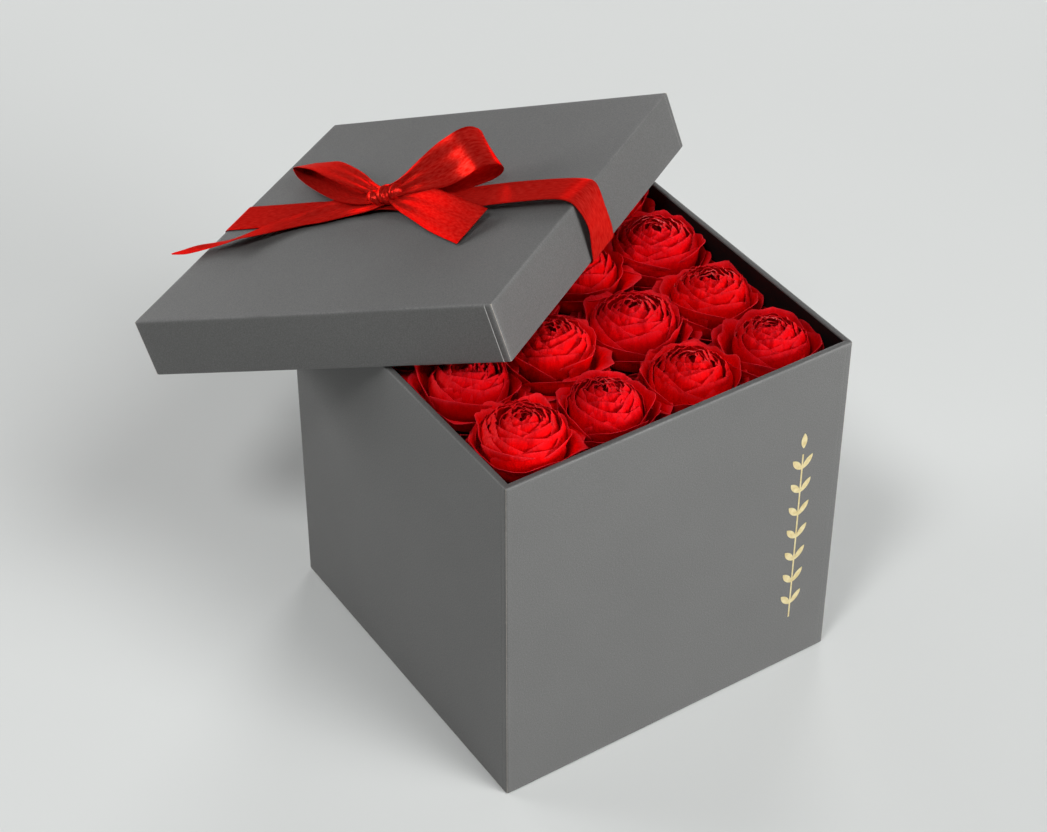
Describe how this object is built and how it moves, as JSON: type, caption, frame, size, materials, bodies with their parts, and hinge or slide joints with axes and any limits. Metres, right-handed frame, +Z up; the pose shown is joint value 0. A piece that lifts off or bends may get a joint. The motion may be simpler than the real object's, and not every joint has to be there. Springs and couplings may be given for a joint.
{
  "type": "flower gift box",
  "caption": "Square rigid gift box filled with rose heads in a grid, its lift-off lid tied with a satin bow and laid askew on the rim.",
  "frame": {"origin": "centre of the box's underside, where it stands", "axes": "+Z up, -Y out of the front face that carries the foil ornament, +X to the right as that face is seen"},
  "size_m": [0.2881, 0.3347, 0.258],
  "materials": {
    "greyboard": "uncoated greyboard",
    "grey_paper": "matt embossed wrapping paper",
    "black_lining": "matt black lining paper",
    "gold_foil": "hot-stamped pale gold foil",
    "floral_foam": "fine open-cell floral foam",
    "rose_petal": "velvety petals",
    "rose_stem": "cut green stem",
    "satin_ribbon": "double-faced satin"
  },
  "bodies": {
    "box": {"base_board": "greyboard", "front_board": "greyboard", "back_board": "greyboard", "left_board": "greyboard", "right_board": "greyboard", "base_paper": "grey_paper", "box_wrap": "grey_paper", "box_liner": "black_lining", "foil_ornament": "gold_foil", "foam_block": "floral_foam", "rose_1_1": "rose_petal", "rose_1_2": "rose_petal", "rose_1_3": "rose_petal", "rose_1_4": "rose_petal", "rose_2_1": "rose_petal", "rose_2_2": "rose_petal", "rose_2_3": "rose_petal", "rose_2_4": "rose_petal", "rose_3_1": "rose_petal", "rose_3_2": "rose_petal", "rose_3_3": "rose_petal", "rose_3_4": "rose_petal", "rose_4_1": "rose_petal", "rose_4_2": "rose_petal", "rose_4_3": "rose_petal", "rose_4_4": "rose_petal", "stem_1_1": "rose_stem", "stem_1_2": "rose_stem", "stem_1_3": "rose_stem", "stem_1_4": "rose_stem", "stem_2_1": "rose_stem", "stem_2_2": "rose_stem", "stem_2_3": "rose_stem", "stem_2_4": "rose_stem", "stem_3_1": "rose_stem", "stem_3_2": "rose_stem", "stem_3_3": "rose_stem", "stem_3_4": "rose_stem", "stem_4_1": "rose_stem", "stem_4_2": "rose_stem", "stem_4_3": "rose_stem", "stem_4_4": "rose_stem"},
    "lid": {"lid_top_board": "greyboard", "lid_front_board": "greyboard", "lid_back_board": "greyboard", "lid_left_board": "greyboard", "lid_right_board": "greyboard", "lid_wrap": "grey_paper", "lid_lining": "black_lining", "ribbon_band": "satin_ribbon", "bow_knot": "satin_ribbon", "bow_loop_left": "satin_ribbon", "bow_loop_right": "satin_ribbon", "bow_tail_left": "satin_ribbon", "bow_tail_right": "satin_ribbon"}
  },
  "joints": [
    {"name": "lid_lift", "type": "slide", "parent": "box", "child": "lid", "axis": [0, 0, 1], "range_m": [0, 0.2]}
  ]
}
